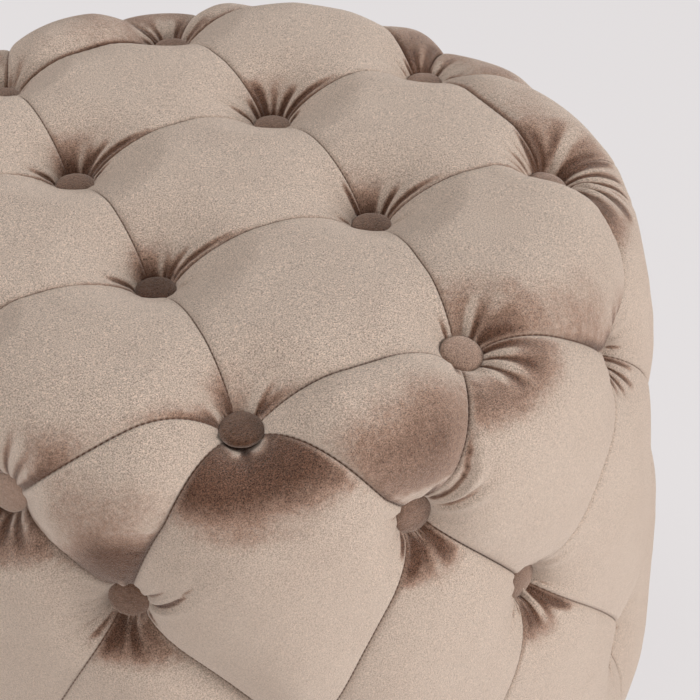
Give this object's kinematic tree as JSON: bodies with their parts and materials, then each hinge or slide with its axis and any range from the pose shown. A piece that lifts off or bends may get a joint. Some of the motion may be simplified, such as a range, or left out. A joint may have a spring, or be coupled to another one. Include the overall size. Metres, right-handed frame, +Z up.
{
  "type": "pouf",
  "caption": "Round velvet pouf, deep-buttoned all over in sewn diamond and square panels, on a plywood and foam drum with low floor glides.",
  "frame": {"origin": "on the floor under the middle of the pouf", "axes": "+Z up along the axis of the drum; -Y is the side that the picture looks at, turned a little towards -X; the square of the centre buttons lies along X and Y"},
  "size_m": [0.5571, 0.554, 0.4435],
  "materials": {
    "velvet": "matte",
    "button_velvet": "matte",
    "foam": "matte",
    "plywood": "matte",
    "fibreboard": "matte",
    "dust_cover_cloth": "matte",
    "glide_plastic": "satin"
  },
  "bodies": {
    "root": {"velvet_cover": "velvet", "centre_button_1": "button_velvet", "centre_button_2": "button_velvet", "centre_button_3": "button_velvet", "centre_button_4": "button_velvet", "rim_button_01": "button_velvet", "rim_button_02": "button_velvet", "rim_button_03": "button_velvet", "rim_button_04": "button_velvet", "rim_button_05": "button_velvet", "rim_button_06": "button_velvet", "rim_button_07": "button_velvet", "rim_button_08": "button_velvet", "rim_button_09": "button_velvet", "rim_button_10": "button_velvet", "shoulder_button_01": "button_velvet", "shoulder_button_02": "button_velvet", "shoulder_button_03": "button_velvet", "shoulder_button_04": "button_velvet", "shoulder_button_05": "button_velvet", "shoulder_button_06": "button_velvet", "shoulder_button_07": "button_velvet", "shoulder_button_08": "button_velvet", "shoulder_button_09": "button_velvet", "shoulder_button_10": "button_velvet", "waist_button_01": "button_velvet", "waist_button_02": "button_velvet", "waist_button_03": "button_velvet", "waist_button_04": "button_velvet", "waist_button_05": "button_velvet", "waist_button_06": "button_velvet", "waist_button_07": "button_velvet", "waist_button_08": "button_velvet", "waist_button_09": "button_velvet", "waist_button_10": "button_velvet", "lower_button_01": "button_velvet", "lower_button_02": "button_velvet", "lower_button_03": "button_velvet", "lower_button_04": "button_velvet", "lower_button_05": "button_velvet", "lower_button_06": "button_velvet", "lower_button_07": "button_velvet", "lower_button_08": "button_velvet", "lower_button_09": "button_velvet", "lower_button_10": "button_velvet", "top_foam": "foam", "side_foam": "foam", "drum_wrap": "fibreboard", "top_board": "plywood", "base_board": "plywood", "post_1": "plywood", "post_2": "plywood", "post_3": "plywood", "post_4": "plywood", "dust_cover": "dust_cover_cloth", "glide_1": "glide_plastic", "glide_2": "glide_plastic", "glide_3": "glide_plastic", "glide_4": "glide_plastic"}
  },
  "joints": []
}
